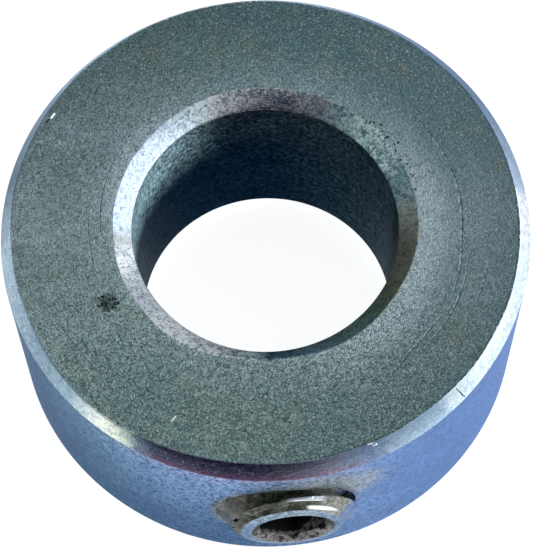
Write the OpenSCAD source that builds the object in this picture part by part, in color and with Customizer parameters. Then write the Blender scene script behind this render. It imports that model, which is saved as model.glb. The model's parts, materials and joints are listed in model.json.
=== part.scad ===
// Solid set-screw shaft collar: a one-piece steel ring that slides on a round shaft, and the socket
// set screw that locks it there. The origin is the centre of the bore at mid-width, +Z runs along
// the bore, and the set screw enters the wall from -Y.

/* [Ring] */
// Outer diameter of the ring
ring_d = 25.4; // [24:0.1:28]
// Width of the ring along the shaft
ring_w = 11.11; // [9.6:0.01:20]
// Diameter of the bore
bore_d = 12.8; // [9:0.01:13.4]
// Outer edge chamfer, measured along the radius
edge_cut_r = 0.55; // [0.2:0.05:1]
// Outer edge chamfer, measured along the axis
edge_cut_z = 0.7; // [0.2:0.05:1.2]
// Bore lead-in chamfer, measured along the radius
lead_cut_r = 0.88; // [0.2:0.02:1.2]
// Bore lead-in chamfer, measured along the axis
lead_cut_z = 0.5; // [0.2:0.05:1.2]
// Small edge break on the back rim, where the ring was parted from the bar
back_cut = 0.2; // [0.1:0.05:0.6]

/* [Tapped hole] */
// Gap between the screw's thread crests and the hole's wall, along the radius
thread_gap = 0.05; // [0.02:0.01:0.1]
// Widening of the hole's relieved mouth, along the radius
mouth_relief = 0.15; // [0.1:0.05:0.5]
// How far that mouth is cut off the hole's axis, towards -X
mouth_shift = 0.25; // [0:0.05:0.4]
// Depth of the relieved mouth below the ring's outer surface
mouth_depth = 1; // [0.6:0.05:1.4]

/* [Set screw] */
// Major diameter of the thread
screw_d = 6.35; // [6:0.05:6.8]
// Pitch of the thread
pitch = 1.27; // [1:0.01:1.4]
// Overall length of the screw
screw_l = 6.35; // [5.6:0.05:7]
// How far the screw's outer end stands out of the ring
screw_proud = 0.84; // [0:0.02:1]
// Diameter of the ring of metal round the socket
face_d = 5.08; // [4.4:0.02:5.4]
// Fall of that ring from the socket's rim to its outer edge
crown = 0.1; // [0.02:0.02:0.2]
// Length of the bevel from that ring to the thread, along the screw
bevel_l = 0.25; // [0.1:0.05:0.7]
// Angle round the screw at which its thread starts
thread_turn = 218; // [0:1:359]
// Diameter of the cup point's rim
cup_d = 3.2; // [2.6:0.1:3.6]
// Hexagon socket, measured across its flats
socket_af = 3.175; // [2.5:0.025:3.2]
// Depth of the hexagon socket
socket_depth = 3.1; // [2:0.1:3.4]
// Angle round the screw at which the hexagon's first corner stands
socket_turn = 30; // [0:1:59]
// Diameter of the socket's bevelled mouth
socket_mouth_d = 3.9; // [3.7:0.05:4.2]

/* [Hidden] */

$fn = 96;
over = 1;                                   // how far a cutter runs past the surface it cuts
ring_r = ring_d / 2;
bore_r = bore_d / 2;
half_w = ring_w / 2;

screw_r = screw_d / 2;
hole_r = screw_r + thread_gap;
face_r = face_d / 2;
cup_r = cup_d / 2;
cup_lip = 0.1;                              // width of the cup point's flat rim
cup_depth = (cup_r - cup_lip) / tan(59);    // a 118 degree cup
socket_r = socket_af / 2 / cos(30);         // from the hexagon's centre to its corners
socket_mouth_r = socket_mouth_d / 2;
socket_lead = 0.3;                          // depth of the bevel at the socket's mouth
mouth_r = hole_r + mouth_relief;
screw_tip = ring_r + screw_proud - screw_l; // distance of the point from the bore's axis

root_r = screw_r - 0.6134 * pitch;          // bottom of the thread
crest_w = pitch / 8;                        // width of the thread's flat crest
ridge_base_r = root_r - 0.1;                // the ridge is rooted a little inside the core
ridge_base_w = crest_w + 2 * (screw_r - ridge_base_r) * tan(30);
turn_steps = 24;                            // flat steps in one turn of the thread
first_step = -turn_steps;
last_step = ceil((screw_l / pitch + 1) * turn_steps);

// Half outline of the ring, turned round the bore's axis
module ring_outline() {
    polygon([
        [bore_r, -half_w + lead_cut_z],
        [bore_r + lead_cut_r, -half_w],
        [ring_r - back_cut, -half_w],
        [ring_r, -half_w + back_cut],
        [ring_r, half_w - edge_cut_z],
        [ring_r - edge_cut_r, half_w],
        [bore_r + lead_cut_r, half_w],
        [bore_r, half_w - lead_cut_z],
    ]);
}

// Lays a shape that is built along +Z, from the bore's axis outwards, along the screw's axis
module along_screw() {
    rotate([90, 0, 0]) children();
}

// The ring, with its tapped hole and the hole's relieved mouth, cut a little to one side
module collar_ring() {
    color("lightslategray") difference() {
        rotate_extrude() ring_outline();
        along_screw() cylinder(r = hole_r, h = ring_r + over);
        along_screw() translate([-mouth_shift, 0, ring_r - mouth_depth]) {
            cylinder(r1 = hole_r, r2 = mouth_r, h = mouth_relief);
            translate([0, 0, mouth_relief]) cylinder(r = mouth_r, h = mouth_depth + over);
        }
    }
}

// One cross-section of the thread's ridge, at a step round the helix
function ridge_section(step) =
    let (turn = 360 * step / turn_steps, mid = pitch * step / turn_steps)
    [for (corner = [[ridge_base_r, -ridge_base_w / 2], [screw_r, -crest_w / 2],
                    [screw_r, crest_w / 2], [ridge_base_r, ridge_base_w / 2]])
        [corner[0] * cos(turn), corner[0] * sin(turn), mid + corner[1]]];

// The right-hand helical ridge, which runs past both ends of the screw
module thread_ridge() {
    sections = last_step - first_step;
    points = [for (step = [first_step : last_step]) each ridge_section(step)];
    sides = [for (s = [0 : sections - 1], k = [0 : 3])
        let (a = 4 * s + k, b = 4 * s + (k + 1) % 4)
        each [[a, b, b + 4], [a, b + 4, a + 4]]];
    polyhedron(concat(points), concat([[3, 2, 1, 0]], sides,
        [[for (k = [0 : 3]) 4 * sections + k]]));
}

// The space that the screw fills: a cylinder with a bevelled point and a crowned, bevelled end
module screw_envelope() {
    rotate_extrude() polygon([
        [0, 0],
        [cup_r, 0],
        [screw_r, screw_r - cup_r],
        [screw_r, screw_l - crown - bevel_l],
        [face_r, screw_l - crown],
        [socket_mouth_r, screw_l],
        [0, screw_l],
    ]);
}

// Socket set screw: threaded all along, cup point inwards, hexagon socket outwards
module set_screw() {
    color("silver") along_screw() translate([0, 0, screw_tip]) difference() {
        intersection() {
            union() {
                cylinder(r = root_r, h = screw_l);
                rotate([0, 0, thread_turn]) thread_ridge();
            }
            screw_envelope();
        }
        translate([0, 0, -over])
            cylinder(r1 = cup_r - cup_lip + over * tan(59), r2 = 0,
                     h = cup_depth + over);
        translate([0, 0, screw_l - socket_depth]) rotate([0, 0, socket_turn])
            cylinder(r = socket_r, h = socket_depth + over, $fn = 6);
        translate([0, 0, screw_l - socket_lead])
            cylinder(r1 = socket_mouth_r - socket_lead, r2 = socket_mouth_r + over,
                     h = socket_lead + over);
    }
}

collar_ring();
set_screw();
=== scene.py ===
"""Looks of a set-screw shaft collar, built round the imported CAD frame.

The bore runs along Z and the set screw enters the wall from -Y. Meshes are made in millimetres
and scaled to metres by finish_piece. Angles round the bore are in degrees, 0 being +X and 90
+Y, so the screw is at 270.
"""
import json
import math
import random

import bmesh
import bpy
from mathutils import Matrix, Quaternion, Vector, noise


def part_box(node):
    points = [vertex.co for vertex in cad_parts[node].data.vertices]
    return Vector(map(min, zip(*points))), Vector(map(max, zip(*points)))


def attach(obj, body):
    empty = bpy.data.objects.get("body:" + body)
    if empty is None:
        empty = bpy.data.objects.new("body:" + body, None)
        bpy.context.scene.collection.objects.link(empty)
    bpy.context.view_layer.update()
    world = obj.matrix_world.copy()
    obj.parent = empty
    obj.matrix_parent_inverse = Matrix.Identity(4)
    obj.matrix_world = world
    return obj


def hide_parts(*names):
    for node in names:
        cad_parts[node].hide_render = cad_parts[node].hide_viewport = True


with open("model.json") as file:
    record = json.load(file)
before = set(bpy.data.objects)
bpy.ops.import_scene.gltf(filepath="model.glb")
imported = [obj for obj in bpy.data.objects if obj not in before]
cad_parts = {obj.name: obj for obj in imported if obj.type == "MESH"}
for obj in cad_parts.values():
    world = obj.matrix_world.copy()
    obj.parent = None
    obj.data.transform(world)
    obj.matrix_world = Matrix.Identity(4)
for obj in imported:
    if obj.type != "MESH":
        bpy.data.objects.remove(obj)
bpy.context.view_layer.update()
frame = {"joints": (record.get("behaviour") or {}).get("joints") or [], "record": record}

MM = 0.001
PER_MM = 1 / MM

# -------- sizes, in millimetres
ring_low, ring_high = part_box("collar_ring")
screw_low, screw_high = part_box("set_screw")
bore_size = next(m["dims"] for m in frame["record"]["mounts"] if m["name"] == "bore")
screw_joint = frame["joints"][0]

# the ring
RING_R = ring_high.x / MM
HALF_W = ring_high.z / MM
BORE_R = bore_size["r_mm"]
BORE_HALF = bore_size["length_mm"] / 2
LEAD_CUT_R = 0.88
EDGE_CUT_R = 0.55
EDGE_CUT_Z = 0.7
BACK_CUT = 0.2
FACE_IN = BORE_R + LEAD_CUT_R
FACE_OUT = RING_R - EDGE_CUT_R

# the set screw
SCREW_R = (screw_high.x - screw_low.x) / 2 / MM
SCREW_TIP = -screw_high.y / MM
SCREW_END = -screw_low.y / MM
SCREW_L = SCREW_END - SCREW_TIP
PITCH = -screw_joint["range_m"][0] / MM
SCREW_ROOT_R = SCREW_R - 0.6134 * PITCH  # depth of a 60 degree thread with rounded roots
CREST_HALF = PITCH / 16
FACE_R = 2.54
CROWN = 0.1
BEVEL_L = 0.25
CUP_R = 1.6
CUP_LIP = 0.1
CUP_DEPTH = 0.9
SOCKET_AF = 3.175
SOCKET_DEPTH = 3.1
SOCKET_MOUTH_R = 1.95
SOCKET_LEAD = 0.3
SOCKET_TURN = math.radians(30)
THREAD_TURN = math.radians(218)
FLANK = math.tan(math.radians(30))

# the tapped hole and its relieved mouth
THREAD_GAP = 0.05
HOLE_R = SCREW_R + THREAD_GAP
HOLE_MINOR_R = 2.55
MOUTH_R = HOLE_R + 0.15
MOUTH_SHIFT = 0.25
MOUTH_DEPTH = 1.0

# the corroded spot on the front face, as radius and angle round the bore
PIT = (8.46, 203.5)

# how finely the meshes are made
RING_STEPS = 1440
ROD_STEPS = 144
FILLET_STEP = math.radians(14)
THREAD_ROUNDING = 0.05
GROOVE_STEP = 0.22
MARK_LIFT = 0.012  # how far a mark's cutter stands above the face
SAME_POINT = 1e-5
SAME_POINT_FINISHED = 2e-4
SHORTEST_EDGE = 1e-4

# edges bent more than this are shaded sharp, the second beside a flat face
SHARP_ANGLE = math.radians(32)
FLAT_ANGLE = math.radians(5)
FLAT_NORMAL_Z = 0.9999


# -------- mesh helpers
def show(obj):
    """Puts an object in the scene."""
    bpy.context.scene.collection.objects.link(obj)


def mesh_from(name, points, faces, kinds=None):
    """A mesh with one material index for each face."""
    mesh = bpy.data.meshes.new(name)
    mesh.from_pydata([tuple(p) for p in points], [], faces)
    if kinds:
        mesh.polygons.foreach_set("material_index", kinds)
    mesh.update()
    return mesh


def scratch_object(mesh, materials):
    """An object for Boolean work, with every material of its piece."""
    obj = bpy.data.objects.new(mesh.name, mesh)
    for material in materials.values():
        mesh.materials.append(material)
    show(obj)
    return obj


def combine(target, tool, operation):
    """Applies one exact Boolean to target and removes the tool."""
    modifier = target.modifiers.new("combine", "BOOLEAN")
    modifier.operation = operation
    modifier.object = tool
    modifier.solver = "EXACT"
    modifier.use_self = True
    modifier.material_mode = "TRANSFER"
    graph = bpy.context.evaluated_depsgraph_get()
    result = bpy.data.meshes.new_from_object(target.evaluated_get(graph))
    target.modifiers.clear()
    target.data = result
    bpy.data.objects.remove(tool)
    return target


def mended(mesh, merge=True, outwards=False):
    """Merges points that coincide and, where asked, turns every face outwards."""
    work = bmesh.new()
    work.from_mesh(mesh)
    if merge:
        bmesh.ops.remove_doubles(work, verts=work.verts, dist=SAME_POINT)
    if outwards:
        bmesh.ops.recalc_face_normals(work, faces=work.faces)
    work.to_mesh(mesh)
    work.free()
    return mesh


def turned(outline, steps, kinds, warp=None, start=0.0):
    """A closed solid turned round Z from a closed outline of (radius, height) points.

    kinds holds the material index of the face that follows each point, and warp moves a point
    along the radius for a given angle."""
    rows = len(outline)
    points = []
    for step in range(steps):
        angle = start + math.tau * step / steps
        cosine, sine = math.cos(angle), math.sin(angle)
        for index, (radius, height) in enumerate(outline):
            reach = radius + (warp(index, angle) if warp else 0)
            points.append((reach * cosine, reach * sine, height))
    faces = []
    face_kinds = []
    for step in range(steps):
        here, there = step * rows, (step + 1) % steps * rows
        for row in range(rows):
            following = (row + 1) % rows
            faces.append((here + row, there + row, there + following, here + following))
            face_kinds.append(kinds[row])
    return mesh_from("turned", points, faces, face_kinds)


def solid_turned(outline, steps, kinds, start=0.0):
    """As turned, for an outline that starts and ends on the axis."""
    return mended(turned(outline, steps, kinds, start=start))


def rounded(corners):
    """Rounds the corners of a closed outline.

    Each corner is (radius, height, fillet, kind of its fillet, kind of the face after it), and the
    result is the points, the kind of the face after each, and the corner each came from."""
    points, kinds, owners = [], [], []
    count = len(corners)
    for index, (radius, height, fillet, fillet_kind, kind) in enumerate(corners):
        corner = Vector((radius, height))
        before = (Vector(corners[index - 1][:2]) - corner).normalized()
        after = (Vector(corners[(index + 1) % count][:2]) - corner).normalized()
        turn = math.pi - before.angle(after)
        reach = fillet * math.tan(turn / 2)
        pieces = max(1, round(turn / FILLET_STEP))
        start, end = corner + before * reach, corner + after * reach
        for piece in range(pieces + 1):
            share = piece / pieces
            bent = start * (1 - share) ** 2 + corner * 2 * share * (1 - share) + end * share ** 2
            points.append(tuple(bent))
            kinds.append(fillet_kind if piece < pieces else kind)
            owners.append(index)
    return points, kinds, owners


def wave(angle, radius, length, seed):
    """Smooth noise from -1 to 1 round a circle of that radius, in bumps about one length long."""
    return noise.noise(Vector((math.cos(angle), math.sin(angle), 0)) * (radius / length)
                       + Vector((seed, seed * 1.7, seed * 0.6)))


def bell(angle, middle, half):
    """1 at an angle round the bore, falling smoothly to 0 at half degrees either side of it."""
    away = abs((math.degrees(angle) - middle + 180) % 360 - 180) / half
    return (1 + math.cos(math.pi * away)) / 2 if away < 1 else 0


def to_screw_axis():
    """Turns a shape that is built along +Z to lie along the screw's axis."""
    return Matrix.Rotation(math.radians(90), 4, "X")


def on_front(radius, degrees):
    """A point on the front face or its outer chamfer, with the surface's normal there."""
    turn = math.radians(degrees)
    out = Vector((math.cos(turn), math.sin(turn), 0))
    if radius <= FACE_OUT:
        return out * radius + Vector((0, 0, HALF_W)), Vector((0, 0, 1))
    fall = (radius - FACE_OUT) * EDGE_CUT_Z / EDGE_CUT_R
    normal = (out * EDGE_CUT_Z + Vector((0, 0, EDGE_CUT_R))).normalized()
    return out * radius + Vector((0, 0, HALF_W - fall)), normal


# -------- threads
def thread_outline(root, crest, crest_half):
    """One pitch of a 60 degree thread with eased corners, as (offset along the axis, radius)."""
    base_half = crest_half + (crest - root) * FLANK
    slant = THREAD_ROUNDING / 2
    rise = slant / FLANK * 0.75
    rising = [
        (-PITCH / 2, root),
        (-base_half - slant, root),
        (-base_half + slant, root + rise),
        (-crest_half - slant, crest - rise),
        (-crest_half + slant, crest),
    ]
    return rising + [(-offset, radius) for offset, radius in reversed(rising[1:])]


def threaded_rod(outline, low, high, kind):
    """A closed right-hand threaded rod along +Z that reaches past both low and high.

    Its columns follow the helix, so the last column meets the first one a pitch further up."""
    per_pitch = len(outline)
    first = math.floor(low / PITCH) - 2
    pitches = math.ceil(high / PITCH) + 2 - first
    rows = per_pitch * pitches + 1
    points = []
    for step in range(ROD_STEPS + 1):
        share = step / ROD_STEPS
        angle = math.tau * share + THREAD_TURN
        for row in range(rows):
            offset, radius = outline[row % per_pitch]
            height = (first + row // per_pitch + share) * PITCH + offset
            points.append((radius * math.cos(angle), radius * math.sin(angle), height))
    faces = []
    for step in range(ROD_STEPS):
        here, there = step * rows, (step + 1) * rows
        for row in range(rows - 1):
            faces.append((here + row, there + row, there + row + 1, here + row + 1))
    last = ROD_STEPS * rows
    bottom = [step * rows for step in range(ROD_STEPS + 1)]
    bottom += range(per_pitch - 1, 0, -1)
    top = [step * rows + rows - 1 for step in range(ROD_STEPS + 1)]
    top += [last + row for row in range(rows - 2, rows - 1 - per_pitch, -1)]
    for loop in (bottom, top):
        middle = sum(points[index][2] for index in loop) / len(loop)
        points.append((0, 0, middle))
        centre = len(points) - 1
        for index, corner in enumerate(loop):
            following = loop[(index + 1) % len(loop)]
            if loop is bottom:
                faces.append((centre, following, corner))
            else:
                faces.append((centre, corner, following))
    return mended(mesh_from("rod", points, faces, [kind] * len(faces)), outwards=True)


# -------- finishing a piece
def finish_piece(obj, name, body, node):
    """Scales a millimetre mesh to metres, shades it, parents it to its body and hides its CAD node.
    """
    obj.name = name
    mesh = obj.data
    mesh.name = name
    work = bmesh.new()
    work.from_mesh(mesh)
    bmesh.ops.remove_doubles(work, verts=work.verts, dist=SAME_POINT_FINISHED)
    bmesh.ops.dissolve_degenerate(work, edges=work.edges, dist=SHORTEST_EDGE)
    for face in work.faces:
        face.smooth = True
    for edge in work.edges:
        beside_flat = any(abs(face.normal.z) > FLAT_NORMAL_Z for face in edge.link_faces)
        limit = FLAT_ANGLE if beside_flat else SHARP_ANGLE
        if len(edge.link_faces) == 2 and edge.calc_face_angle(0) > limit:
            edge.smooth = False
    work.to_mesh(mesh)
    work.free()
    mesh.transform(Matrix.Scale(MM, 4))
    weighted = obj.modifiers.new("weighted_normals", "WEIGHTED_NORMAL")
    weighted.keep_sharp = True
    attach(obj, body)
    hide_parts(node)


# -------- node helpers
class Nodes:
    """Short calls for the nodes of one tree."""

    def __init__(self, tree):
        self.tree = tree

    def node(self, kind, settings=None):
        """A new shader node with the given settings."""
        made = self.tree.nodes.new("ShaderNode" + kind)
        for key, value in (settings or {}).items():
            setattr(made, key, value)
        return made

    def link(self, source, target):
        """Feeds target from a socket, a number or a colour."""
        if isinstance(source, bpy.types.NodeSocket):
            self.tree.links.new(source, target)
        elif isinstance(source, (tuple, list)) and len(source) == 3 and target.type == "RGBA":
            target.default_value = (*source, 1)
        else:
            target.default_value = source

    def fit(self, value, low, high, to_low=0.0, to_high=1.0):
        """Maps low..high to to_low..to_high, smoothly and clamped."""
        made = self.node("MapRange", {"interpolation_type": "SMOOTHSTEP"})
        for key, number in zip(("Value", "From Min", "From Max", "To Min", "To Max"),
                               (value, low, high, to_low, to_high)):
            self.link(number, made.inputs[key])
        return made.outputs["Result"]

    def mix(self, share, first, second, kind="MIX"):
        """Colour that goes from the first to the second as share goes from 0 to 1."""
        made = self.node("Mix", {"data_type": "RGBA", "blend_type": kind})
        self.link(share, made.inputs[0])
        self.link(first, made.inputs[6])
        self.link(second, made.inputs[7])
        return made.outputs[2]


class Surface(Nodes):
    """A material with its masks and textures, whose lengths are in millimetres."""

    def __init__(self, name):
        self.material = bpy.data.materials.new(name)
        self.material.use_nodes = True
        super().__init__(self.material.node_tree)
        self.shader = next(n for n in self.tree.nodes if n.type == "BSDF_PRINCIPLED")
        coordinates = self.node("TexCoord")
        scaled = self.node("VectorMath", {"operation": "SCALE"})
        self.link(coordinates.outputs["Object"], scaled.inputs[0])
        scaled.inputs["Scale"].default_value = PER_MM
        self.place = scaled.outputs["Vector"]

    def set(self, **inputs):
        """Sets inputs of the Principled shader, written with _ for each space, and gives the
        material."""
        for key, value in inputs.items():
            self.link(value, self.shader.inputs[key.replace("_", " ")])
        return self.material

    def math(self, operation, first, second=0.0):
        """The result of one Math node."""
        made = self.node("Math", {"operation": operation})
        self.link(first, made.inputs[0])
        self.link(second, made.inputs[1])
        return made.outputs[0]

    def plus(self, first, second):
        """Sum of two values."""
        return self.math("ADD", first, second)

    def minus(self, first, second):
        """First value less the second."""
        return self.math("SUBTRACT", first, second)

    def times(self, first, second):
        """Product of two values."""
        return self.math("MULTIPLY", first, second)

    def larger(self, first, second):
        """The larger of two values."""
        return self.math("MAXIMUM", first, second)

    def length(self, first, second):
        """Length of a vector with two components."""
        return self.math("SQRT", self.plus(self.times(first, first), self.times(second, second)))

    def noise(self, scale, detail=2.0, rough=0.5, twist=0.0, one=None):
        """Noise from 0 to 1, in space or, where one is given, along one number."""
        made = self.node("TexNoise", {"noise_dimensions": "1D" if one else "3D"})
        if one:
            self.link(one, made.inputs["W"])
        else:
            self.link(self.place, made.inputs["Vector"])
        made.inputs["Scale"].default_value = scale
        made.inputs["Detail"].default_value = detail
        made.inputs["Roughness"].default_value = rough
        made.inputs["Distortion"].default_value = twist
        return made.outputs["Fac"]

    def split(self):
        """The x, y and z of the shaded point."""
        made = self.node("SeparateXYZ")
        self.link(self.place, made.inputs[0])
        return made.outputs

    def radius(self):
        """Distance from the bore's axis."""
        x, y, _ = self.split()
        return self.length(x, y)

    def bearing(self, jitter=0.0):
        """Angle round the bore in turns, 0 to 1 from +X, made ragged by a jitter in degrees."""
        x, y, _ = self.split()
        turn = self.math("DIVIDE", self.math("ARCTAN2", y, x), math.tau)
        if jitter:
            rough = self.minus(self.noise(2.2, 4.0, 0.7), 0.5)
            turn = self.plus(turn, self.times(rough, jitter / 180))
        return self.math("FRACT", turn)

    def around(self, stops, jitter=4.0):
        """Colour that changes round the bore, from (degrees, colour) stops."""
        made = self.node("ValToRGB")
        ramp = made.color_ramp
        first, last = stops[0][1], stops[-1][1]
        gap = 360 - stops[-1][0] + stops[0][0]
        share = stops[0][0] / gap
        seam = tuple(a * (1 - share) + b * share for a, b in zip(first, last))
        ramp.elements[0].position = 0
        ramp.elements[0].color = (*seam, 1)
        ramp.elements[1].position = 1
        ramp.elements[1].color = (*seam, 1)
        for degrees, colour in stops:
            ramp.elements.new(degrees / 360).color = (*colour, 1)
        self.link(self.bearing(jitter), made.inputs[0])
        return made.outputs["Color"]

    def height(self):
        """Height along the bore."""
        return self.split()[2]

    def sector(self, middle, half, jitter=3.0, soft=5.0):
        """1 within half degrees of a direction round the bore, falling to 0 just outside."""
        turn = self.minus(self.bearing(jitter), middle / 360 - 0.5)
        away = self.math("ABSOLUTE", self.minus(self.math("FRACT", turn), 0.5))
        return self.fit(away, (half - soft) / 360, (half + soft) / 360, 1.0, 0.0)

    def bump(self, height, depth, below=None):
        """Bump of that depth in millimetres."""
        made = self.node("Bump")
        made.inputs["Distance"].default_value = depth * MM
        self.link(height, made.inputs["Height"])
        if below:
            self.link(below, made.inputs["Normal"])
        return made.outputs["Normal"]

    def round_grain(self, amount):
        """Anisotropy that follows turning marks round Z."""
        tangent = self.node("Tangent", {"direction_type": "RADIAL", "axis": "Z"})
        self.set(Anisotropic=amount, Tangent=tangent.outputs["Tangent"])


# -------- materials
def face_tone(s, reach):
    """Broad colours of the face at a distance from the bore's axis: tints round it and across it
    that are painted reflection, painted highlights by the bore chamfer, and clouds and stains."""
    clouds = s.noise(0.22, 3.0, 0.6, 0.6)
    stains = s.noise(0.33, 3.0, 0.6, 1.0)
    # painted reflection: paler beside the bore chamfer and darker towards the outer one
    inner = s.fit(reach, FACE_IN - 0.9, FACE_IN + 2.8, 0.8, 0.0)
    rim = s.times(s.fit(reach, FACE_OUT - 2.4, FACE_OUT, 0.0, 0.5),
                  s.minus(1.0, s.sector(210, 65, soft=25.0)))
    # painted reflection: lighter and darker sectors round the face, where the window's light
    # catches the turning marks
    tint = s.around([
        (0, (0.38, 0.46, 0.50)), (20, (0.19, 0.28, 0.31)), (50, (0.13, 0.22, 0.24)),
        (85, (0.14, 0.23, 0.25)), (115, (0.26, 0.34, 0.35)), (150, (0.50, 0.60, 0.62)),
        (180, (0.60, 0.72, 0.72)), (210, (0.54, 0.66, 0.62)), (240, (0.32, 0.41, 0.38)),
        (275, (0.30, 0.38, 0.35)), (305, (0.32, 0.39, 0.39)), (335, (0.38, 0.47, 0.50)),
    ], 12.0)
    # painted highlights: flare and glow, beside the bore chamfer
    flare = s.times(s.fit(reach, FACE_IN, FACE_IN + 2.3, 0.75, 0.0), s.sector(335, 45, soft=25.0))
    glow = s.times(s.fit(reach, FACE_IN, FACE_IN + 1.3, 0.75, 0.0), s.sector(150, 24, soft=18.0))
    colour = s.mix(s.fit(clouds, 0.3, 0.7, 0.0, 0.35), tint, (0.16, 0.27, 0.27))
    colour = s.mix(s.fit(stains, 0.52, 0.72, 0.0, 0.6), colour, (0.30, 0.28, 0.20))
    colour = s.mix(s.times(inner, 0.5), colour, (0.70, 0.82, 0.85))
    colour = s.mix(s.larger(flare, glow), colour, (0.82, 0.92, 0.96))
    return s.mix(rim, colour, (0.12, 0.19, 0.20))


def pit_halo(s):
    """0.7 at the corroded spot, falling to 0 about half a millimetre away."""
    spot = s.node("VectorMath", {"operation": "DISTANCE"})
    s.link(s.place, spot.inputs[0])
    spot.inputs[1].default_value = on_front(*PIT)[0]
    ragged = s.plus(spot.outputs["Value"], s.times(s.noise(4.0, 3.0, 0.7), 0.9))
    return s.fit(ragged, 0.75, 1.05, 0.7, 0.0)


def face_material():
    """Dull grey-green plating over a turned face, browner and bluer in patches."""
    s = Surface("plated_face")
    grain = s.noise(4.4, 2.0, 0.6, 2.6)
    specks = s.noise(9.0, 1.0, 0.5, 0.8)
    worms = s.noise(3.0, 2.0, 0.55, 0.9)
    worms = s.fit(s.math("ABSOLUTE", s.minus(worms, 0.5)), 0.0, 0.07)
    # the grain is coarser at the lower, upper and left parts of the face
    coarse = s.plus(0.65, s.times(s.sector(262, 60, soft=30.0), 0.55))
    coarse = s.plus(coarse, s.times(s.sector(95, 60, soft=30.0), 0.3))
    coarse = s.plus(coarse, s.times(s.sector(185, 40, soft=25.0), 0.2))
    # fine turning lines
    reach = s.radius()
    wobble = s.times(s.noise(0.25, 1.0), 0.6)
    lines = s.noise(5.5, 4.0, 0.7, one=s.plus(reach, wobble))
    colour = face_tone(s, reach)
    # dark line where the face meets the outer chamfer
    line = s.fit(s.plus(reach, s.times(specks, 0.16)), FACE_OUT - 0.08, FACE_OUT + 0.02, 0.0, 0.65)
    colour = s.mix(s.times(line, s.sector(335, 62, soft=12.0)), colour, (0.04, 0.07, 0.07))
    # dark and bright specks of the grain; the dark worm lines are also painted shade in the
    # relief's creases, and the bright specks are painted glints
    creases = s.times(coarse, s.fit(worms, 0.0, 1.0, 0.42, 0.0))
    colour = s.mix(creases, colour, (0.06, 0.12, 0.12))
    dim = s.times(coarse, s.fit(grain, 0.36, 0.60, 0.65, 0.0))
    colour = s.mix(dim, colour, (0.05, 0.11, 0.11))
    glint = s.times(coarse, s.fit(specks, 0.54, 0.74, 0.0, 0.4))
    colour = s.mix(glint, colour, (0.72, 0.82, 0.79))
    colour = s.mix(pit_halo(s), colour, (0.03, 0.06, 0.06))
    s.set(Base_Color=colour, Metallic=0.9, Roughness=s.fit(grain, 0.3, 0.7, 0.5, 0.36))
    s.set(Specular_Tint=(0.6, 0.65, 0.65))
    s.round_grain(0.8)
    fine = s.bump(lines, 0.008)
    relief = s.times(coarse, s.plus(grain, s.times(worms, 0.35)))
    return s.set(Normal=s.bump(relief, 0.032, fine))


def edge_material():
    """Plating on the outer chamfers, with painted highlights where it is bright and painted dark
    reflections where it is dark blue to purple."""
    s = Surface("plated_edge")
    grain = s.noise(4.0, 3.0, 0.6, 1.0)
    specks = s.noise(7.0, 2.0, 0.6)
    # painted reflections: the white and pale stretches are painted highlights, the dark blue and
    # purple ones painted dark reflections
    colour = s.around([
        (1, (0.92, 0.95, 1.0)), (4, (0.44, 0.54, 0.72)), (15, (0.30, 0.40, 0.53)),
        (30, (0.16, 0.22, 0.36)), (45, (0.15, 0.24, 0.40)), (62, (0.30, 0.42, 0.64)),
        (95, (0.90, 0.96, 1.0)), (125, (0.62, 0.80, 0.94)), (142, (0.28, 0.38, 0.46)),
        (163, (0.16, 0.20, 0.24)), (182, (0.45, 0.57, 0.68)), (208, (0.26, 0.37, 0.44)),
        (219, (0.34, 0.48, 0.54)), (223, (0.66, 0.76, 0.75)), (227, (0.92, 0.96, 0.86)),
        (232, (0.80, 0.90, 0.74)), (236, (0.20, 0.28, 0.34)), (241, (0.09, 0.09, 0.16)),
        (262, (0.10, 0.08, 0.16)), (272, (0.24, 0.22, 0.30)), (280, (0.34, 0.34, 0.46)),
        (285, (0.26, 0.34, 0.52)), (289, (0.22, 0.32, 0.48)), (293, (0.40, 0.53, 0.68)),
        (306, (0.48, 0.66, 0.82)), (308, (0.78, 0.94, 1.0)), (340, (0.78, 0.90, 1.0)),
    ], 4.0)
    colour = s.mix(s.fit(grain, 0.35, 0.6, 0.35, 0.0), colour, (0.10, 0.14, 0.22))
    colour = s.mix(s.fit(specks, 0.55, 0.75, 0.0, 0.3), colour, (0.80, 0.84, 0.84))
    # painted dark reddish reflection on the lower part of the chamfer above the screw
    low = s.fit(s.height(), HALF_W - EDGE_CUT_Z, HALF_W - EDGE_CUT_Z * 0.55, 0.6, 0.0)
    red_reflection = s.times(low, s.sector(262, 24))
    colour = s.mix(s.times(red_reflection, s.fit(specks, 0.36, 0.5)), colour, (0.16, 0.05, 0.09))
    s.set(Base_Color=colour, Metallic=1.0, Roughness=s.fit(grain, 0.3, 0.7, 0.30, 0.18))
    return s.set(Normal=s.bump(grain, 0.010), Specular_Tint=(0.5, 0.55, 0.6))


def oil_share(s, x, z):
    """How much dried oil there is, above the hole and to the right."""
    spread = s.length(s.plus(x, -1.5), s.plus(z, -1.6))
    spread = s.plus(spread, s.times(s.noise(1.6, 5.0, 0.75), 2.6))
    return s.times(s.fit(spread, 3.0, 5.0, 0.7, 0.0), s.fit(z, 0.0, 2.0))


def mouth_edge_shade_share(s, x, z):
    """How much painted shade lies round the rounded edge of the hole's mouth, most of it on the
    left.
    """
    reach = s.length(s.plus(x, MOUTH_SHIFT), z)
    reach = s.plus(reach, s.times(s.noise(2.2, 4.0, 0.7), 0.8))
    return s.times(s.fit(reach, MOUTH_R + 0.42, MOUTH_R + 0.85, 0.85, 0.0),
                   s.fit(x, -2.6, -1.8, 1.0, 0.35))


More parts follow.
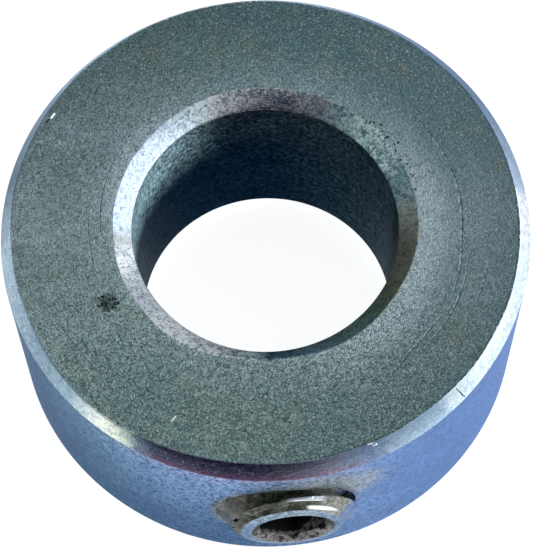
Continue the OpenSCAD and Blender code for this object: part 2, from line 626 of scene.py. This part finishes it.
def wall_material():
    """Satin blue plating on the outer wall, painted darker and greyer to the left as shade, oily
    round the hole and painted with shade round its mouth.
    """
    s = Surface("plated_wall")
    grain = s.noise(5.0, 3.0, 0.65, 1.0)
    clouds = s.noise(0.35, 3.0, 0.6)
    # painted shade: darker and greyer on the left, lighter and bluer on the right where the light
    # falls
    colour = s.around([
        (20, (0.14, 0.25, 0.54)), (150, (0.10, 0.20, 0.32)), (205, (0.05, 0.12, 0.17)),
        (225, (0.22, 0.36, 0.44)), (245, (0.34, 0.50, 0.74)), (270, (0.32, 0.46, 0.72)),
        (300, (0.22, 0.34, 0.62)), (330, (0.15, 0.28, 0.60)),
    ], 6.0)
    colour = s.mix(s.fit(clouds, 0.35, 0.65, 0.25, 0.0), colour, (0.09, 0.16, 0.28))
    x, y, z = s.split()
    # painted shade, darker towards the lower left and the floor, and lilac under the chamfer above
    # the screw
    low = s.times(s.fit(z, -4.5, 4.5, 0.75, 0.0), s.fit(x, -4.0, 3.0, 1.0, 0.15))
    colour = s.mix(low, colour, (0.03, 0.08, 0.15))
    upper = s.fit(z, HALF_W - EDGE_CUT_Z - 1.8, HALF_W - EDGE_CUT_Z, 0.0, 0.6)
    lilac = s.times(upper, s.sector(258, 30, soft=9.0))
    colour = s.mix(lilac, colour, (0.46, 0.50, 0.70))
    # dark grain, coarser on the left
    coarse = s.fit(x, -2.0, 8.0, 0.85, 0.35)
    colour = s.mix(s.times(coarse, s.fit(grain, 0.38, 0.58, 1.0, 0.0)), colour, (0.03, 0.07, 0.15))
    # dirt, and painted shade round the mouth, on the screw's side of the ring only
    screw_side = s.fit(y, -8.0, -6.0, 1.0, 0.0)
    oil = s.times(oil_share(s, x, z), screw_side)
    colour = s.mix(oil, colour,
                   s.mix(s.fit(grain, 0.4, 0.6), (0.16, 0.18, 0.15), (0.56, 0.58, 0.54)))
    # painted shade round the rounded edge of the hole's mouth
    mouth_edge_shade = s.times(mouth_edge_shade_share(s, x, z), screw_side)
    colour = s.mix(mouth_edge_shade, colour,
                   s.mix(s.fit(grain, 0.4, 0.6), (0.07, 0.07, 0.06), (0.32, 0.31, 0.30)))
    s.set(Base_Color=colour, Metallic=s.fit(oil, 0.0, 0.7, 1.0, 0.4))
    s.set(Roughness=s.fit(grain, 0.3, 0.7, 0.46, 0.34), Specular_Tint=(0.5, 0.6, 0.8))
    return s.set(Normal=s.bump(s.times(grain, coarse), 0.06))


def lead_material():
    """Plating on the bore's lead-in chamfers: painted bright reflections on one side, brownish on
    the other and dulled by wear between, with painted dark reflections."""
    s = Surface("plated_lead")
    grain = s.noise(5.0, 3.0, 0.65, 1.2)
    specks = s.noise(3.2, 4.0, 0.75, 0.6)
    # painted reflections: the white stretches are painted highlights, the darkest ones painted dark
    # reflections
    colour = s.around([
        (2, (0.48, 0.50, 0.42)), (8, (0.36, 0.48, 0.50)), (16, (0.34, 0.50, 0.50)),
        (24, (0.78, 0.98, 0.90)), (44, (0.68, 0.88, 0.78)), (56, (0.44, 0.55, 0.53)),
        (64, (0.24, 0.27, 0.32)), (80, (0.36, 0.40, 0.46)), (95, (0.80, 0.84, 0.88)),
        (105, (1.0, 1.0, 1.0)), (110, (0.90, 0.98, 1.0)), (120, (0.70, 0.80, 0.88)),
        (128, (0.60, 0.70, 0.78)), (133, (0.58, 0.67, 0.78)), (174, (0.51, 0.60, 0.71)),
        (180, (0.38, 0.40, 0.40)), (190, (0.66, 0.68, 0.69)), (212, (0.80, 0.82, 0.86)),
        (220, (1.0, 1.0, 1.0)), (236, (1.0, 1.0, 0.98)), (250, (1.0, 1.0, 0.98)),
        (260, (0.80, 0.96, 0.92)), (266, (0.08, 0.15, 0.22)), (275, (0.14, 0.26, 0.32)),
        (287, (0.38, 0.56, 0.60)), (300, (0.54, 0.80, 0.80)), (315, (0.34, 0.50, 0.32)),
        (330, (0.48, 0.48, 0.34)), (345, (0.34, 0.33, 0.23)),
    ], 4.0)
    # dull stretches with dark spots
    dull = s.plus(s.sector(38, 30, soft=8.0), s.sector(262, 24, soft=12.0))
    dull = s.plus(dull, s.times(s.sector(336, 34, soft=8.0), 0.5))
    spots = s.fit(specks, 0.42, 0.52, 1.0, 0.0)
    dark = s.mix(s.times(dull, spots), (0.5, 0.5, 0.5), (0.16, 0.20, 0.22))
    colour = s.mix(1.0, colour, s.mix(1.0, dark, (2.0, 2.0, 2.0), "MULTIPLY"), "MULTIPLY")
    # scorched and mottled stretch at the back
    mottle = s.fit(s.noise(3.4, 5.0, 0.8, 1.5), 0.42, 0.56)
    scorched = s.mix(mottle, (0.06, 0.06, 0.09), (0.92, 0.84, 0.80))
    colour = s.mix(s.times(s.sector(84, 22, soft=10.0), 0.75), colour, scorched)
    # dark flecks, a little weaker at the upper left
    flecks = s.times(s.fit(grain, 0.32, 0.56, 0.8, 0.0),
                     s.minus(1.0, s.times(s.sector(150, 30), 0.25)))
    colour = s.mix(flecks, colour, (0.08, 0.13, 0.22))
    rough = s.plus(s.fit(grain, 0.3, 0.7, 0.26, 0.16), s.times(dull, 0.3))
    s.set(Base_Color=colour, Metallic=1.0, Roughness=rough)
    return s.set(Normal=s.bump(specks, 0.02), Specular_Tint=(0.6, 0.6, 0.6))


def bore_material():
    """Thinly plated bore wall painted nearly black as shade, with a painted sheen band below the
    chamfer on one side.
    """
    s = Surface("dark_bore")
    grain = s.noise(4.5, 3.0, 0.65, 0.8)
    clouds = s.noise(0.5, 3.0, 0.6, 0.5)
    # painted shade: nearly black deep in the bore
    colour = s.mix(clouds, (0.002, 0.005, 0.012), (0.010, 0.016, 0.028))
    # less painted shade towards the front and to the right
    upper = s.fit(s.height(), 0.0, 5.0)
    colour = s.mix(upper, colour, s.mix(clouds, (0.008, 0.010, 0.016), (0.026, 0.034, 0.040)))
    colour = s.mix(s.times(s.sector(25, 40, soft=25.0), 0.6), colour, (0.024, 0.032, 0.036))
    # painted sheen: a pale band below the chamfer on the left
    depth = s.plus(s.height(), s.times(s.noise(1.6, 4.0, 0.7), 2.2))
    pale = s.times(s.fit(depth, 1.4, 5.6), s.sector(162, 36, soft=27.0))
    colour = s.mix(pale, colour, (0.36, 0.56, 0.64))
    # light and dark grain
    lighter = s.mix(1.0, colour, (2.7, 2.6, 2.4), "MULTIPLY")
    colour = s.mix(s.fit(grain, 0.46, 0.66, 0.0, 0.9), colour, lighter)
    colour = s.mix(s.fit(grain, 0.34, 0.48, 0.7, 0.0), colour, (0.003, 0.006, 0.007))
    tint = s.mix(s.sector(352, 14, soft=12.0), (0.4, 0.45, 0.5), (0.18, 0.24, 0.24))
    s.set(Base_Color=colour, Metallic=1.0, Roughness=s.fit(grain, 0.3, 0.7, 0.50, 0.36))
    return s.set(Normal=s.bump(grain, 0.03), Specular_Tint=tint)


def thread_material(name, dark, light):
    """Cut steel with oily dirt in it, painted pale as if lit on the left."""
    s = Surface(name)
    grain = s.noise(3.0, 5.0, 0.7, 1.2)
    colour = s.mix(s.fit(grain, 0.38, 0.64), dark, light)
    x, _, z = s.split()
    # painted light: the lower left of the hole is painted pale, as if lit
    rough = s.times(s.noise(1.8, 4.0, 0.7), 1.6)
    left = s.fit(s.plus(s.plus(x, rough), s.times(z, 0.5)), -1.6, -1.1, 0.9, 0.0)
    cells = s.fit(grain, 0.34, 0.46)
    colour = s.mix(left, colour, s.mix(cells, (0.22, 0.26, 0.28), (0.95, 1.0, 1.0)))
    s.set(Base_Color=colour, Metallic=0.0)
    s.set(Roughness=s.fit(grain, 0.3, 0.7, 0.55, 0.30))
    return s.set(Normal=s.bump(grain, 0.03), Specular_Tint=(0.6, 0.6, 0.6))


def glint_share(s, x, z):
    """How strongly a painted glint lies along a stretch of the screw's outer bevel and of its
    crest.
    """
    reach = s.length(x, z)
    rim = s.times(s.fit(reach, FACE_R - 0.02, FACE_R + 0.02),
                  s.fit(reach, FACE_R + 0.10, FACE_R + 0.16, 1.0, 0.0))
    rim = s.times(rim, s.times(s.fit(x, 0.5, 0.9), s.fit(x, 1.8, 2.3, 1.0, 0.0)))
    crest = s.times(s.fit(reach, SCREW_R - 0.13, SCREW_R - 0.07),
                    s.times(s.fit(x, -0.4, 0.2), s.fit(x, 1.2, 1.7, 1.0, 0.0)))
    return s.times(s.larger(rim, crest), s.fit(z, 0.8, 1.4))


def screw_thread_material():
    """Plated screw thread: clean and blue on the right and below, stained olive-brown elsewhere,
    and with painted glints in places, where it is also smoother."""
    s = Surface("screw_thread")
    grain = s.noise(3.2, 5.0, 0.7, 1.0)
    x, _, z = s.split()
    side = s.plus(x, s.times(z, -0.75))
    side = s.plus(side, s.times(s.noise(1.4, 3.0, 0.6), 1.6))
    clean = s.fit(side, 1.9, 2.9)
    ragged = s.plus(z, s.times(s.noise(2.2, 3.0, 0.6), 0.8))
    clean = s.larger(clean, s.fit(ragged, -0.9, -0.3, 0.85, 0.0))
    blotches = s.noise(1.7, 4.0, 0.7, 1.2)
    oily = s.mix(s.fit(grain, 0.38, 0.62), (0.014, 0.017, 0.008), (0.17, 0.175, 0.115))
    oily = s.mix(s.fit(blotches, 0.42, 0.52, 0.85, 0.0), oily, (0.014, 0.022, 0.010))
    oily = s.mix(s.fit(blotches, 0.58, 0.66, 0.0, 0.6), oily, (0.36, 0.40, 0.38))
    dry = s.mix(s.fit(grain, 0.38, 0.62), (0.16, 0.16, 0.13), (0.48, 0.49, 0.44))
    plated = s.mix(s.fit(grain, 0.35, 0.65), (0.13, 0.22, 0.42), (0.26, 0.36, 0.58))
    painted_glint = glint_share(s, x, z)
    colour = s.mix(s.fit(side, -0.6, 0.8), oily, dry)
    colour = s.mix(clean, colour, plated)
    # painted glints: bright colour on the bevel and crest
    colour = s.mix(painted_glint, colour, (0.90, 0.94, 0.94))
    s.set(Base_Color=colour, Metallic=s.fit(s.larger(painted_glint, clean), 0.0, 1.0, 0.2, 1.0))
    s.set(Roughness=s.fit(painted_glint, 0.0, 1.0, 0.45, 0.16))
    s.set(Normal=s.bump(s.times(grain, s.fit(painted_glint, 0.0, 1.0, 1.0, 0.3)), 0.02))
    return s.set(Specular_Tint=(0.6, 0.6, 0.6))


def screw_face_material():
    """Plated flat end of the screw, paler towards the front face of the ring."""
    s = Surface("screw_face")
    grain = s.noise(4.5, 3.0, 0.65, 0.8)
    clouds = s.noise(0.9, 2.0)
    z = s.height()
    colour = s.mix(clouds, (0.13, 0.20, 0.34), (0.26, 0.36, 0.55))
    colour = s.mix(s.fit(z, 0.0, 2.2, 0.0, 0.7), colour, (0.46, 0.54, 0.60))
    colour = s.mix(s.fit(grain, 0.38, 0.62, 0.7, 0.0), colour, (0.07, 0.10, 0.14))
    s.set(Base_Color=colour, Metallic=1.0, Roughness=s.fit(grain, 0.3, 0.7, 0.34, 0.20))
    return s.set(Normal=s.bump(grain, 0.014), Specular_Tint=(0.6, 0.7, 0.8))


def socket_material():
    """Socket painted near black as shade, with its lower walls near the mouth painted lit in
    speckled grey-brown.
    """
    s = Surface("screw_socket")
    grain = s.noise(3.6, 5.0, 0.75, 0.6)
    colour = s.mix(s.fit(grain, 0.40, 0.60), (0.010, 0.011, 0.013), (0.42, 0.38, 0.36))
    x, y, z = s.split()
    # painted light on the lower walls near the mouth only, reaching deeper on the right; painted
    # shade elsewhere
    depth = s.plus(y, SCREW_END - 0.30)
    depth = s.minus(depth, s.fit(x, 0.0, 1.6, 0.0, 0.6))
    depth = s.plus(depth, s.times(s.noise(2.6, 4.0, 0.7), 0.5))
    lit = s.times(s.fit(z, -0.7, 0.0, 1.0, 0.0), s.fit(depth, 0.34, 0.46, 1.0, 0.0))
    colour = s.mix(lit, (0.004, 0.004, 0.005), colour)
    s.set(Base_Color=colour, Metallic=0.3, Roughness=0.55)
    return s.set(Normal=s.bump(grain, 0.03))


def bare_material():
    """Bright bare steel in the deeper scratches and nicks."""
    s = Surface("bare_steel")
    grain = s.noise(8.0, 2.0)
    colour = s.mix(grain, (0.7, 0.72, 0.72), (0.9, 0.9, 0.88))
    return s.set(Base_Color=colour, Metallic=1.0, Roughness=0.3)


def score_material():
    """Half-bright steel in the turning marks and the shallower scratches."""
    s = Surface("scored_steel")
    grain = s.noise(6.0, 3.0)
    colour = s.mix(s.fit(grain, 0.35, 0.65), (0.08, 0.14, 0.15), (0.30, 0.38, 0.39))
    return s.set(Base_Color=colour, Metallic=0.9, Roughness=0.5, Normal=s.bump(grain, 0.03))


def pit_material():
    """Dark scale in the corrosion pits."""
    s = Surface("pit_scale")
    grain = s.noise(6.0, 3.0)
    colour = s.mix(grain, (0.004, 0.008, 0.010), (0.04, 0.06, 0.06))
    return s.set(Base_Color=colour, Roughness=0.8)


RING_MATERIALS = {
    "face": face_material(),
    "edge": edge_material(),
    "wall": wall_material(),
    "lead": lead_material(),
    "bore": bore_material(),
    # the thread's and the mouth's pale colours are painted lighter, as light that reaches into the
    # hole
    "thread": thread_material("hole_thread", (0.05, 0.05, 0.03), (0.36, 0.34, 0.24)),
    "mouth": thread_material("hole_mouth", (0.10, 0.10, 0.07), (0.50, 0.50, 0.40)),
    "bare": bare_material(),
    "score": score_material(),
    "pit": pit_material(),
}
SCREW_MATERIALS = {
    "end": screw_face_material(),
    "thread": screw_thread_material(),
    "socket": socket_material(),
}
# each kind of surface as the material index that its faces carry
RING = {kind: index for index, kind in enumerate(RING_MATERIALS)}
SCREW = {kind: index for index, kind in enumerate(SCREW_MATERIALS)}


# -------- ring
def ring_body():
    """The turned ring. The line between each front chamfer and the face wanders a little and is
    finely serrated."""
    face, edge, wall = RING["face"], RING["edge"], RING["wall"]
    lead, bore = RING["lead"], RING["bore"]
    corners = [
        (BORE_R, -BORE_HALF, 0.08, lead, lead),
        (FACE_IN, -HALF_W, 0.05, lead, face),
        (RING_R - BACK_CUT, -HALF_W, 0.04, edge, edge),
        (RING_R, -HALF_W + BACK_CUT, 0.04, edge, wall),
        (RING_R, HALF_W - EDGE_CUT_Z, 0.12, edge, edge),
        (FACE_OUT, HALF_W, 0.05, edge, face),
        (FACE_IN, HALF_W, 0.05, lead, lead),
        (BORE_R, BORE_HALF, 0.08, lead, bore),
    ]
    points, kinds, owners = rounded(corners)
    outer, inner = 5, 6  # the corners that lie on those two lines
    outer_end = max(i for i, owner in enumerate(owners) if owner == outer)
    inner_start = owners.index(inner)

    def warp(index, angle):
        """How far the line that a point lies on wanders along the radius."""
        if owners[index] == outer:
            narrow = bell(angle, 110, 85) * 0.13 + bell(angle, 224, 30) * 0.15
            drift = wave(angle, FACE_OUT, 2.5, 3) * 0.04 + narrow
            ragged = 0.09 + 0.10 * bell(angle, 222, 30)
            step = abs(wave(angle, FACE_OUT, 0.17, 5)) * ragged
            return drift - (step if index == outer_end else 0)
        if owners[index] == inner:
            narrow = bell(angle, 268, 42) * 0.34 + bell(angle, 318, 30) * 0.16
            drift = wave(angle, FACE_IN, 2.0, 7) * 0.06 - narrow
            ragged = 0.10 + 0.22 * bell(angle, 32, 40) + 0.15 * bell(angle, 258, 35)
            step = abs(wave(angle, FACE_IN, 0.2, 9)) * ragged
            return drift + (step if index == inner_start else 0)
        return 0

    return turned(points, RING_STEPS, kinds, warp)


def hole_cutter():
    """The tapped hole along the screw's axis: a right-hand thread and a relieved mouth."""
    outline = thread_outline(HOLE_MINOR_R, HOLE_R, CREST_HALF + 0.03)
    rod = threaded_rod(outline, 0, RING_R - SCREW_TIP, RING["thread"])
    rod.transform(Matrix.Translation((0, 0, SCREW_TIP)))
    cutter = scratch_object(rod, RING_MATERIALS)
    inside, outside = BORE_R / 3, RING_R + 2  # the cutter's ends, well clear of the wall
    sleeve = [(0, inside), (HOLE_R + 1, inside), (HOLE_R + 1, outside), (0, outside)]
    sleeve = solid_turned(sleeve, ROD_STEPS, [RING["thread"]] * 4)
    combine(cutter, scratch_object(sleeve, RING_MATERIALS), "INTERSECT")
    floor = RING_R - MOUTH_DEPTH
    kind = RING["mouth"]
    corners = [
        (0, floor - 0.6, 0, 0, kind),
        (HOLE_MINOR_R, floor - 0.6, 0.1, kind, kind),
        (HOLE_R, floor, 0.1, kind, kind),
        (MOUTH_R, floor + MOUTH_R - HOLE_R, 0.1, kind, kind),
        (MOUTH_R, outside, 0, 0, kind),
        (0, outside, 0, 0, kind),
    ]
    points, kinds, _ = rounded(corners)
    mouth = solid_turned(points, ROD_STEPS, kinds)
    mouth.transform(Matrix.Translation((-MOUTH_SHIFT, 0, 0)))
    combine(cutter, scratch_object(mouth, RING_MATERIALS), "UNION")
    cutter.data.transform(to_screw_axis())
    return cutter


def groove(path, half, depth, kind):
    """A closed V-shaped cutter that tapers at both ends, along (radius, degrees) points. half is
    half its width, and kind is the material of the cut."""
    stations = []
    for (r1, d1), (r2, d2) in zip(path, path[1:]):
        length = math.hypot(r2 - r1, math.radians(d2 - d1) * r1)
        pieces = max(2, round(length / GROOVE_STEP))
        for piece in range(pieces):
            share = piece / pieces
            stations.append((r1 + (r2 - r1) * share, d1 + (d2 - d1) * share))
    stations.append(path[-1])
    points, faces = [], []
    last = len(stations) - 1
    for index, (radius, degrees) in enumerate(stations):
        here, normal = on_front(radius, degrees)
        before, _ = on_front(*stations[max(0, index - 1)])
        after, _ = on_front(*stations[min(last, index + 1)])
        side = (after - before).cross(normal).normalized()
        # share of the whole width and depth: smaller at the ends and uneven between them
        full = 0.25 + 0.75 * math.sin(math.pi * (index + 0.5) / (last + 1)) ** 0.5
        full *= 0.8 + 0.4 * noise.noise(here * 4)
        lift = normal * MARK_LIFT
        slope = side * (half * full * (1 + MARK_LIFT / depth))
        points += [here + slope + lift, here - slope + lift, here - normal * depth * full]
    for index in range(last):
        a, b = index * 3, index * 3 + 3
        faces += [(a, a + 1, b + 1, b), (a + 1, a + 2, b + 2, b + 1), (a + 2, a, b, b + 2)]
    faces += [(2, 1, 0), (last * 3, last * 3 + 1, last * 3 + 2)]
    return points, faces, [kind] * len(faces)


def crater(radius, degrees, dice, widths, depths):
    """A small irregular conical cutter in the front face, with its width and depth drawn from
    the given ranges."""
    width = dice.uniform(*widths)
    depth = dice.uniform(*depths)
    sides = dice.choice((5, 6, 7))
    spin = dice.uniform(0, 3)
    centre, normal = on_front(radius, degrees)
    points = [centre - normal * depth]
    for side in range(sides):
        turn = spin + math.tau * side / sides
        reach = width * (0.75 + 0.5 * noise.noise(centre * 3 + Vector((side, spin, 0))))
        points.append(centre + Vector((math.cos(turn), math.sin(turn), 0)) * reach
                      + normal * MARK_LIFT)
    faces = [(0, 1 + (side + 1) % sides, 1 + side) for side in range(sides)]
    faces.append(tuple(range(1, sides + 1)))
    return points, faces, [RING["pit"]] * len(faces)


def long_marks():
    """Turning rings, scratches and nicks on the front of the ring."""
    bare, score, pit = RING["bare"], RING["score"], RING["pit"]
    return [
        # rings left by the turning tool
        groove([(9.20, 34), (9.36, 20), (9.42, 4), (9.36, -10), (9.54, -24), (9.57, -32)], 0.09,
               0.03, score),
        groove([(9.57, -33), (9.45, -41), (9.44, -50), (9.64, -57), (9.93, -62)], 0.08, 0.03,
               score),
        groove([(9.80, -14), (9.90, -30), (9.85, -40), (9.79, -52)], 0.07, 0.025, score),
        groove([(10.75, -16), (10.72, -28)], 0.07, 0.02, score),
        groove([(8.16, 136), (8.11, 146), (8.01, 161), (7.86, 178)], 0.06, 0.04, score),
        groove([(8.45, 172), (8.40, 192)], 0.05, 0.02, score),
        # scratches
        groove([(10.58, 241.8), (10.92, 241.4)], 0.045, 0.03, bare),
        groove([(10.92, 203), (10.84, 212), (10.90, 222)], 0.05, 0.025, score),
        groove([(10.52, 207), (10.50, 217)], 0.05, 0.02, score),
        groove([(11.62, 97.5), (11.1, 95.4), (10.66, 93.7)], 0.03, 0.02, score),
        # nicks
        groove([(11.85, 144.3), (11.87, 146.0)], 0.09, 0.05, bare),
        groove([(11.95, 146.4), (12.0, 147.6)], 0.08, 0.06, pit),
        groove([(11.88, 61.6), (11.62, 59.7)], 0.05, 0.04, score),
        groove([(11.86, 53.8), (11.64, 52.4)], 0.04, 0.03, score),
        groove([(12.10, 287.2), (12.24, 289.4)], 0.09, 0.06, bare),
        groove([(12.06, 310.6), (12.35, 311.0), (12.68, 311.5)], 0.04, 0.05, score),
    ]


def pit_marks():
    """The corroded spot, and small pits in the face beside the bore chamfer."""
    dice = random.Random(4)
    marks = []
    for _ in range(44):
        spread = 0.5 * math.sqrt(dice.random())
        turn = dice.uniform(0, math.tau)
        radius = PIT[0] + spread * math.cos(turn)
        degrees = PIT[1] + math.degrees(spread * math.sin(turn) / PIT[0])
        marks.append(crater(radius, degrees, dice, (0.05, 0.12), (0.05, 0.11)))
    for _ in range(30):
        radius = 7.45 + dice.gauss(0, 0.13)
        degrees = dice.uniform(8, 45)
        marks.append(crater(radius, degrees, dice, (0.04, 0.11), (0.04, 0.08)))
    return marks


def mark_cutter():
    """Every mark on the front of the ring, as one cutter."""
    points, faces, kinds = [], [], []
    for some_points, some_faces, some_kinds in long_marks() + pit_marks():
        base = len(points)
        points += some_points
        faces += [tuple(base + corner for corner in face) for face in some_faces]
        kinds += some_kinds
    mesh = mended(mesh_from("marks", points, faces, kinds), merge=False, outwards=True)
    return scratch_object(mesh, RING_MATERIALS)


def make_ring():
    """The ring with its tapped hole and its marks."""
    ring = scratch_object(ring_body(), RING_MATERIALS)
    combine(ring, hole_cutter(), "DIFFERENCE")
    combine(ring, mark_cutter(), "DIFFERENCE")
    finish_piece(ring, "turned_ring", "collar", "collar_ring")


# -------- set screw
def screw_envelope():
    """Outer form of the screw: cup point rim, body and bevelled outer end."""
    thread, end = SCREW["thread"], SCREW["end"]
    corners = [
        (0, 0, 0, thread, thread),
        (CUP_R, 0, 0.04, thread, thread),
        (SCREW_R, SCREW_R - CUP_R, 0.04, thread, thread),
        (SCREW_R, SCREW_L - CROWN - BEVEL_L - 0.06, 0.06, thread, thread),
        (FACE_R + 0.06, SCREW_L - CROWN - BEVEL_L + 0.06, 0.03, thread, thread),
        (FACE_R + 0.02, SCREW_L - CROWN - 0.02, 0.08, thread, end),
        (SOCKET_MOUTH_R, SCREW_L, 0, end, end),
        (0, SCREW_L, 0, end, end),
    ]
    points, kinds, _ = rounded(corners)
    return solid_turned(points, ROD_STEPS, kinds)


def socket_cutter():
    """Hexagon socket with a bevelled mouth and a drilled bottom."""
    kind = SCREW["socket"]
    floor = SCREW_L - SOCKET_DEPTH
    corner_r = SOCKET_AF / 2 / math.cos(math.radians(30))
    hexagon = [(0, floor - 0.4), (corner_r * 0.8, floor), (corner_r, floor + 0.05),
               (corner_r, SCREW_L + 1), (0, SCREW_L + 1)]
    prism = scratch_object(solid_turned(hexagon, 6, [kind] * 5, SOCKET_TURN), SCREW_MATERIALS)
    bevel = [
        (0, SCREW_L - SOCKET_LEAD, 0, kind, kind),
        (SOCKET_MOUTH_R - SOCKET_LEAD, SCREW_L - SOCKET_LEAD, 0, kind, kind),
        (SOCKET_MOUTH_R - 0.05, SCREW_L - 0.06, 0.1, kind, kind),
        (SOCKET_MOUTH_R + 0.6, SCREW_L + 0.3, 0, kind, kind),
        (0, SCREW_L + 0.3, 0, kind, kind),
    ]
    points, kinds, _ = rounded(bevel)
    mouth = scratch_object(solid_turned(points, ROD_STEPS, kinds), SCREW_MATERIALS)
    return combine(prism, mouth, "UNION")


def cup_cutter():
    """Cone of the cup point, inside a narrow flat rim."""
    rim = CUP_R - CUP_LIP
    cone = [(0, -1), (rim + 1.6, -1), (rim, 0), (0, CUP_DEPTH)]
    return scratch_object(solid_turned(cone, ROD_STEPS, [SCREW["thread"]] * 4), SCREW_MATERIALS)


def make_screw():
    """The set screw: a threaded rod cut to its outer form, with a socket and a cup point."""
    outline = thread_outline(SCREW_ROOT_R, SCREW_R, CREST_HALF)
    rod = threaded_rod(outline, 0, SCREW_L, SCREW["thread"])
    screw = scratch_object(rod, SCREW_MATERIALS)
    combine(screw, scratch_object(screw_envelope(), SCREW_MATERIALS), "INTERSECT")
    combine(screw, socket_cutter(), "DIFFERENCE")
    combine(screw, cup_cutter(), "DIFFERENCE")
    screw.data.transform(to_screw_axis() @ Matrix.Translation((0, 0, SCREW_TIP)))
    finish_piece(screw, "socket_screw", "screw", "set_screw")


# -------- camera, floor and light
# the camera's turn from -Y towards -X, its height above the horizon, and its roll
VIEW_TURN = math.radians(4.3)
VIEW_HEIGHT = math.radians(66.09)
VIEW_ROLL = math.radians(-1.28)
VIEW_DISTANCE = 112.84 * MM
VIEW_DROP = 0.238 * MM  # how far below the ring's centre it looks
LENS = 147.86
FLOOR_HALF = 0.6


def make_camera():
    """A camera that looks down at the ring's front, a little from the left of the screw."""
    towards_camera = Vector((-math.sin(VIEW_TURN) * math.cos(VIEW_HEIGHT),
                             -math.cos(VIEW_TURN) * math.cos(VIEW_HEIGHT),
                             math.sin(VIEW_HEIGHT)))
    camera = bpy.data.objects.new("camera", bpy.data.cameras.new("camera"))
    camera.data.lens = LENS
    camera.data.sensor_width = 36
    camera.data.clip_start = 0.001
    camera.location = towards_camera * VIEW_DISTANCE
    level = (-towards_camera).to_track_quat("-Z", "Y")
    up = level @ Vector((0, 1, 0))
    look = (up * -VIEW_DROP - camera.location).to_track_quat("-Z", "Y")
    camera.rotation_mode = "QUATERNION"
    camera.rotation_quaternion = look @ Quaternion((0, 0, 1), VIEW_ROLL)
    show(camera)
    bpy.context.scene.camera = camera


def make_floor():
    """A plain floor under the ring, which glows so that it looks white."""
    corners = [(x * FLOOR_HALF, y * FLOOR_HALF, 0) for x, y in ((-1, -1), (1, -1), (1, 1), (-1, 1))]
    mesh = mesh_from("floor", corners, [(0, 1, 2, 3)])
    floor = bpy.data.objects.new("floor", mesh)
    floor.location.z = ring_low.z
    pale = Surface("pale_floor")
    pale.set(Base_Color=(0.45, 0.46, 0.47), Roughness=0.9)
    pale.set(Emission_Color=(1.0, 1.0, 1.0), Emission_Strength=0.9)
    mesh.materials.append(pale.material)
    show(floor)


def compass(azimuth, elevation):
    """Unit vector towards a direction, azimuth 0 being +X and 90 +Y, in degrees."""
    a, e = math.radians(azimuth), math.radians(elevation)
    return Vector((math.cos(a) * math.cos(e), math.sin(a) * math.cos(e), math.sin(e)))


def make_window():
    """A large area light to the right, which faces the ring and isn't seen itself."""
    width, height, radiance = 0.50, 0.42, 1.4
    light = bpy.data.lights.new("window", "AREA")
    light.shape = "RECTANGLE"
    light.size, light.size_y = width, height
    light.energy = radiance * math.pi * width * height
    light.color = (0.97, 0.99, 1.0)
    window = bpy.data.objects.new("window", light)
    direction = compass(3, 28)
    window.location = direction * 0.40
    window.rotation_mode = "QUATERNION"
    window.rotation_quaternion = direction.to_track_quat("Z", "Y")
    window.visible_camera = False
    show(window)


def make_world():
    """A pale grey dome with a dark patch in front and one behind, which the camera itself sees as
    white."""
    world = bpy.data.worlds.new("studio")
    world.use_nodes = True
    bpy.context.scene.world = world
    sky = Nodes(world.node_tree)
    sky.tree.nodes.clear()
    direction = sky.node("TexCoord").outputs["Generated"]

    def lobe(azimuth, elevation, inner, outer):
        """1 within inner degrees of a direction, falling to 0 at outer degrees."""
        dot = sky.node("VectorMath", {"operation": "DOT_PRODUCT"})
        sky.link(direction, dot.inputs[0])
        sky.link(compass(azimuth, elevation), dot.inputs[1])
        low, high = math.cos(math.radians(outer)), math.cos(math.radians(inner))
        return sky.fit(dot.outputs["Value"], low, high)

    light = sky.mix(lobe(-110, 25, 25, 50), (0.50, 0.56, 0.60), (0.05, 0.06, 0.08))
    light = sky.mix(lobe(120, 15, 20, 42), light, (0.08, 0.09, 0.09))
    camera_ray = sky.node("LightPath").outputs["Is Camera Ray"]
    background = sky.node("Background")
    sky.link(sky.mix(camera_ray, light, (1.0, 1.0, 1.0)), background.inputs["Color"])
    output = sky.node("OutputWorld")
    sky.link(background.outputs[0], output.inputs["Surface"])


bpy.context.scene.view_settings.view_transform = "Standard"
make_camera()
make_floor()
make_world()
make_window()
make_ring()
make_screw()
